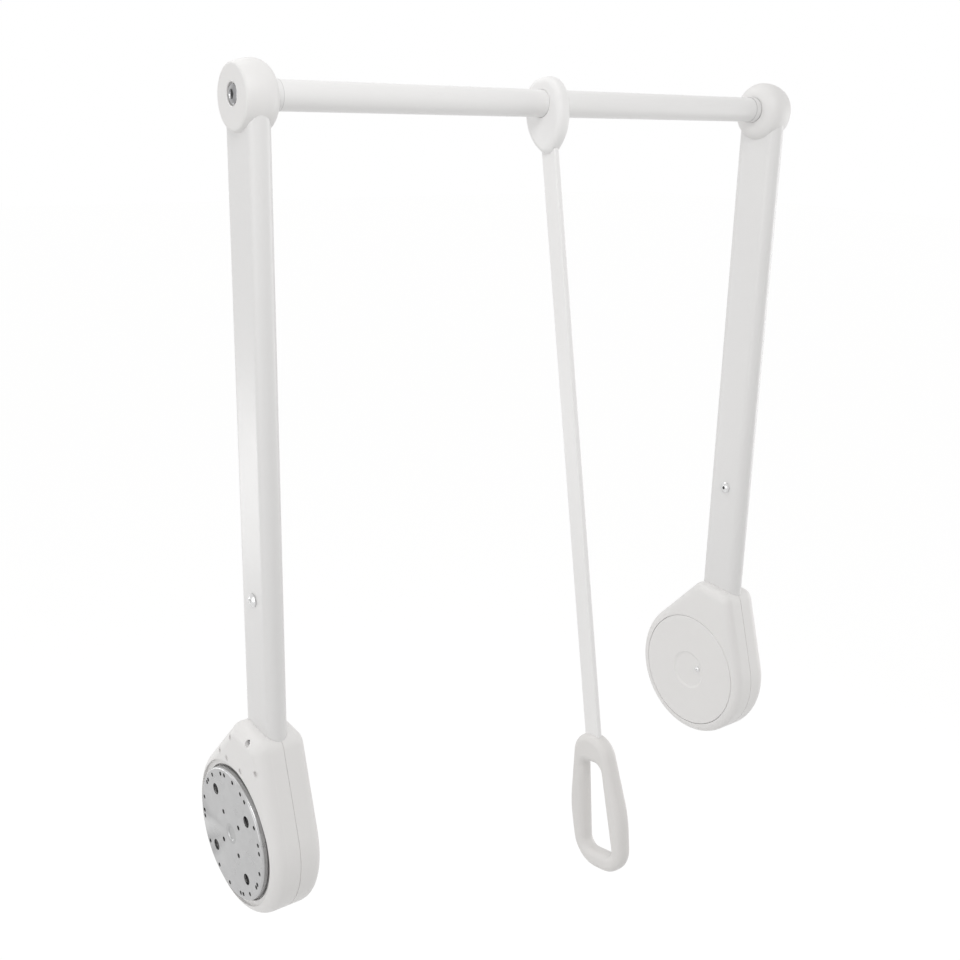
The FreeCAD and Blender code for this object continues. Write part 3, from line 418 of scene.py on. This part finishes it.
# Painted shade for the bottom of a screw's recess.
recess_shade = metal(
    "screw_recess", dark=(0.03, 0.03, 0.032), light=(0.08, 0.08, 0.08),
    gloss=(0.35, 0.5), grain=0.0005, deep=0.00003)
bright_zinc = metal(
    "bright_zinc_screw", dark=(0.20, 0.20, 0.205), light=(0.46, 0.46, 0.465),
    gloss=(0.10, 0.22), grain=0.0009, deep=0.00006)
pale_nickel = metal(
    "pale_nickel_bolt", dark=(0.60, 0.60, 0.60), light=(0.80, 0.80, 0.80),
    gloss=(0.14, 0.28), grain=0.0008, deep=0.00003)
cast_alloy = metal(
    "die_cast_alloy", dark=(0.40, 0.41, 0.42), light=(0.56, 0.57, 0.58),
    gloss=(0.42, 0.60), grain=0.0009, deep=0.00006)
drawn_tube = metal(
    "drawn_steel_tube", dark=(0.52, 0.53, 0.54), light=(0.70, 0.71, 0.71),
    gloss=(0.18, 0.34), grain=0.0008, deep=0.00002, stretch=(0.03, 1, 1))

# %% [markdown]
# ## Rubber
# The buffers that stop the arms are moulded rubber. Rubber is never truly black: it goes
# greyish as it ages, and it has a dry, very fine skin with hardly any shine.

# %% Rubber
def dull_rubber(name):
    """Nearly black, with a greyish bloom."""
    rubber = Finish(name, Specular_IOR_Level=0.3)
    bloom = rubber.noise(size=0.006, detail=3)
    skin = rubber.noise(size=0.0004)
    return rubber.feed(
        Base_Color=rubber.blend(bloom, (0.018, 0.018, 0.018, 1), (0.045, 0.044, 0.043, 1)),
        Roughness=rubber.fit(bloom, (0.3, 0.7), (0.68, 0.85)),
        Normal=rubber.bump(skin, deep=0.00004, strength=0.5))

black_rubber = dull_rubber("buffer_rubber")

# %% [markdown]
# ## Finishes on the solids
# Each solid came with one material slot, and its finish is looked up by the slot's name.
# Six kinds of piece then get their own variant: the hook and the handle show a mould seam
# down their middle, the wall-side shells painted shade in the pin marks and the collars a
# painted shadow at their gaps, and the rail and the corner caps have their own shade of
# white. These shades of white, and those of the hook and the handle, are painted light and
# shade.

# %% Put the finishes on
FINISHES = {
    "white_plastic": white_plastic, "white_steel": arm_coat, "white_alloy": bar_coat,
    "zinc_plate": zinc_sheet, "turned_steel": shaft_steel, "spring_steel": blue_spring,
    "screw_steel": bright_zinc, "cast_alloy": cast_alloy, "grey_plastic": grey_plastic,
    "rubber": black_rubber, "plain_tube": drawn_tube}
own_finish = {"pull_hook": hook_plastic, "pull_handle": handle_plastic}
for side in SIDES:
    own_finish[f"rail_tube_{side}"] = rail_coat
    own_finish[f"corner_cap_{side}"] = cap_plastic
    own_finish[f"housing_outer_{side}"] = pin_shaded_plastic
    own_finish[f"rail_collar_{side}"] = collar_shadow_plastic

for name, solid in solids.items():
    for slot in solid.material_slots:
        slot.material = own_finish.get(name) or FINISHES[slot.material.name.split(".")[0]]
worn = {slot.material.name for solid in solids.values() for slot in solid.material_slots}
print("finishes on the solids:", len(worn))

# %% [markdown]
# ## Screws, bolts and nuts
# Ten fasteners show on the outside. The CAD model has them as plain turned shapes, which
# is right for their size but leaves out what a hand or a driver meets: the crowned head
# and its recess. Each kind is modelled once. A disc is inset and lifted ring by ring into
# a crown, its underside is drawn down into the shank, and a punch cuts the recess with a
# Boolean modifier, as the press does with the real one.

# %% Choose faces
def choose(piece, wanted):
    """Enter edit mode with just those faces selected for which wanted(middle, normal)."""
    bpy.context.view_layer.objects.active = piece
    bpy.ops.object.mode_set(mode="EDIT")
    bpy.ops.mesh.select_mode(type="FACE")
    bpy.ops.mesh.select_all(action="DESELECT")
    bpy.ops.object.mode_set(mode="OBJECT")
    for face in piece.data.polygons:
        face.select = wanted(face.center, face.normal)
    bpy.ops.object.mode_set(mode="EDIT")

def faces_up(middle, normal): return normal.z > 0.9
def faces_down(middle, normal): return normal.z < -0.9

# %% Heads
CROWN_RINGS = (22, 42, 58, 72, 83)  # degrees, whose cosines are the rings' share of the head

def fastener(kind, head, rim, crown, shank, bore=None):
    """Stands on the origin, head up. Head and shank are radii, rim and crown heights. The
    shank is as long as the CAD solid leaves it, unless a bore of some depth replaces it."""
    low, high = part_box(kind + "_left")
    long = high[0] - low[0] - rim - crown if bore is None else -bore
    bpy.ops.object.select_all(action="DESELECT")
    bpy.ops.mesh.primitive_cylinder_add(
        vertices=48, radius=head, depth=rim, location=(0, 0, rim / 2))
    piece = bpy.context.object
    piece.name = kind
    bpy.ops.object.transform_apply()
    ball = (head ** 2 + crown ** 2) / (2 * crown)
    choose(piece, faces_up)
    out, up = head, 0.0
    for angle in CROWN_RINGS:
        radius = head * math.cos(math.radians(angle))
        height = math.sqrt(ball ** 2 - radius ** 2) - (ball - crown)
        bpy.ops.mesh.inset(thickness=out - radius)
        bpy.ops.transform.translate(value=(0, 0, height - up))
        out, up = radius, height
    choose(piece, faces_down)
    bpy.ops.mesh.inset(thickness=head - shank)
    bpy.ops.mesh.extrude_region_move(TRANSFORM_OT_translate={"value": (0, 0, -long)})
    bpy.ops.object.mode_set(mode="OBJECT")
    return piece

# %% Punches
CENTRE = {"center_override": (0, 0, 0)}

def tapered(punch, taper):
    """Narrow the punch at its lower end to this share of its width."""
    choose(punch, faces_down)
    bpy.ops.transform.resize(value=(taper, taper, 1), **CENTRE)
    bpy.ops.object.mode_set(mode="OBJECT")
    return punch

def cross_punch(wing, reach, deep):
    """Two crossed wings: how thick, how far out and how deep into the crown."""
    bpy.ops.object.select_all(action="DESELECT")
    bpy.ops.mesh.primitive_cube_add(size=1, scale=(wing, wing, deep * 2))
    punch = bpy.context.object
    bpy.ops.object.transform_apply()
    choose(punch, lambda middle, normal: abs(normal.x) > 0.9)
    bpy.ops.mesh.extrude_region()
    bpy.ops.transform.resize(value=(reach * 2 / wing, 1, 1), **CENTRE)
    choose(punch, lambda middle, normal: abs(normal.y) > 0.9 and abs(middle.x) < wing / 2)
    bpy.ops.mesh.extrude_region()
    bpy.ops.transform.resize(value=(1, reach * 2 / wing, 1), **CENTRE)
    return tapered(punch, taper=0.45)

def hexagon_punch(radius, deep):
    """Six sides: the radius of a corner and how deep into the crown."""
    bpy.ops.object.select_all(action="DESELECT")
    bpy.ops.mesh.primitive_cylinder_add(vertices=6, radius=radius, depth=deep * 2)
    return tapered(bpy.context.object, taper=0.9)

# %% Punch a head
EDGE_BREAK = 0.00012
SHARP = math.radians(40)   # edges sharper than this are broken,
CREASE = math.radians(38)  # and those that then still turn more than this stay creases

def punched(piece, punch, finish):
    """Cut the punch into the crown, break the sharp edges and smooth the rest. The bottom
    of the recess is painted dark as shade, and its walls stay bright."""
    punch.location.z = max(vertex.co.z for vertex in piece.data.vertices)
    piece.data.materials.append(finish)
    punch.data.materials.append(recess_shade)
    punch.data.materials.append(finish)
    for face in punch.data.polygons:
        face.material_index = 0 if faces_down(face.center, face.normal) else 1
    bpy.ops.object.select_all(action="DESELECT")
    piece.select_set(True)
    bpy.context.view_layer.objects.active = piece
    drive = piece.modifiers.new("drive", "BOOLEAN")
    drive.operation, drive.solver, drive.object = "DIFFERENCE", "EXACT", punch
    drive.material_mode = "TRANSFER"
    bpy.ops.object.modifier_apply(modifier="drive")
    edge = piece.modifiers.new("edge", "BEVEL")
    edge.width, edge.segments = EDGE_BREAK, 2
    edge.limit_method, edge.angle_limit = "ANGLE", SHARP
    bpy.ops.object.modifier_apply(modifier="edge")
    bpy.ops.object.shade_smooth_by_angle(angle=CREASE)
    bpy.data.objects.remove(punch)
    print(piece.name, "has", len(piece.data.polygons), "faces")

# %% Make each kind once
rail_screw = fastener("rail_screw", head=0.008, rim=0.0009, crown=0.0015, shank=0.003)
punched(rail_screw, hexagon_punch(radius=0.0046, deep=0.0019), bright_zinc)
arm_bolt = fastener("arm_bolt", head=0.0063, rim=0.0008, crown=0.0024, shank=0.003)
punched(arm_bolt, hexagon_punch(radius=0.0023, deep=0.0018), pale_nickel)
arm_nut = fastener("arm_nut", head=0.0063, rim=0.0008, crown=0.0024, shank=0.00305, bore=0.0022)
punched(arm_nut, hexagon_punch(radius=0.0023, deep=0.0007), pale_nickel)
cover_screw = fastener("cover_screw", head=0.0036, rim=0.0007, crown=0.0013, shank=0.00155)
punched(cover_screw, cross_punch(wing=0.0009, reach=0.0018, deep=0.0012), pale_nickel)
shell_screw = fastener("shell_screw", head=0.0029, rim=0.0006, crown=0.0016, shank=0.00175)
punched(shell_screw, cross_punch(wing=0.0008, reach=0.0015, deep=0.0012), bright_zinc)

# %% Put them in their places
def drive_in(master, node, out):
    """A copy of the master in the node's place, its head towards out, +1 or -1 along X."""
    low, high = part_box(node)
    face = high[0] if out > 0 else low[0]
    top = max(vertex.co.z for vertex in master.data.vertices)
    spot = (face - out * top, (low[1] + high[1]) / 2, (low[2] + high[2]) / 2)
    laid_down = Matrix.Rotation(math.radians(90 * out), 4, "Y")
    piece = master.copy()
    piece.data = master.data.copy()
    piece.name = node + "_made"
    piece.data.transform(Matrix.Translation(spot) @ laid_down)
    bpy.context.collection.objects.link(piece)
    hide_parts(node)
    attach(piece, solids[node]["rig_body"])

OUT_TO_WALL = {"left": -1, "right": 1}
kinds = ((rail_screw, "wall"), (arm_bolt, "wall"), (arm_nut, "room"),
         (cover_screw, "room"), (shell_screw, "wall"))
for master, head_faces in kinds:
    for side in SIDES:
        out = OUT_TO_WALL[side] if head_faces == "wall" else -OUT_TO_WALL[side]
        drive_in(master, f"{master.name}_{side}", out)
    bpy.data.objects.remove(master)
print("fasteners placed:", len(kinds) * len(SIDES))

# %% [markdown]
# ## Floor, lamps and background
# The lift hangs in a wardrobe, so the floor is a metre below it and nothing casts a hard
# shadow. The studio is a big pale tent, which is the even light of the world. Five broad
# lamps shape it: a key above and in front, one from each side, a low one behind the left
# plate and one behind and above for the top of the rail. What the camera and the
# reflections see of the world is plain white, which the Light Path node tells apart from
# the light on the object. The floor glows for them too, so that no edge of it shows.

# %% World
world = bpy.data.worlds.new("studio")
bpy.context.scene.world = world
world.use_nodes = True
sky = NodeTree(world.node_tree)
sky.tree.nodes.clear()
tent = sky.node("ShaderNodeBackground", None, {"Color": (1.0, 0.99, 0.98, 1), "Strength": 0.62})
white = sky.node("ShaderNodeBackground", None, {"Color": (1, 1, 1, 1), "Strength": 1.0})
seen = sky.seen_by("Camera", "Glossy", "Transmission")
either = sky.node("ShaderNodeMixShader", None, {0: seen, 1: tent, 2: white})
sky.join(either, sky.tree.nodes.new("ShaderNodeOutputWorld").inputs["Surface"])
print("world:", len(sky.tree.nodes), "nodes")

# %% Lamps
def soft_lamp(name, place, aim, size, power):
    """A round lamp of this size, at a place and turned towards its aim."""
    lamp = bpy.data.lights.new(name, "AREA")
    lamp.shape, lamp.size, lamp.energy = "DISK", size, power
    holder = bpy.data.objects.new(name, lamp)
    holder.location = place
    holder.rotation_euler = (Vector(aim) - Vector(place)).to_track_quat("-Z", "Y").to_euler()
    bpy.context.collection.objects.link(holder)
    print(name, "lamp,", power, "W,", size, "m across")

MIDDLE = (0.34, 0, 0.3)
soft_lamp("key", place=(-0.25, -0.8, 1.4), aim=(0.34, 0, 0.45), size=0.7, power=5.4)
soft_lamp("side", place=(-3.6, 0.1, 0.3), aim=MIDDLE, size=2.6, power=21)
soft_lamp("right", place=(2.2, -0.5, 0.3), aim=(0.65, 0, 0.2), size=1.2, power=8.5)
soft_lamp("low", place=(-0.7, 1.5, -0.15), aim=(0.0, 0, 0.36), size=0.45, power=2)
soft_lamp("back", place=(-0.05, 1.2, 1.8), aim=MIDDLE, size=1.4, power=6)

# %% Floor
FLOOR_HEIGHT = -1.0
bpy.ops.object.select_all(action="DESELECT")
bpy.ops.mesh.primitive_plane_add(size=40, location=(MIDDLE[0], MIDDLE[1], FLOOR_HEIGHT))
floor = bpy.context.object
floor.name = "studio_floor"
bpy.ops.object.transform_apply(location=True, rotation=False, scale=False)
paper = Finish("pale_floor")
cloud = paper.noise(size=0.5)
paper.feed(Base_Color=paper.blend(cloud, grey(0.86), grey(0.89)),
           Roughness=paper.fit(cloud, (0, 1), (0.75, 0.9)))
glow = paper.node("ShaderNodeEmission", None, {"Strength": 1.1})
lit = Wire(paper, paper.shader.outputs[0])
glowing = paper.seen_by("Camera", "Glossy") * 0.8
either = paper.node("ShaderNodeMixShader", None, {0: glowing, 1: lit, 2: glow})
paper.join(either, paper.tree.nodes["Material Output"].inputs["Surface"])
floor.data.materials.append(paper.material)
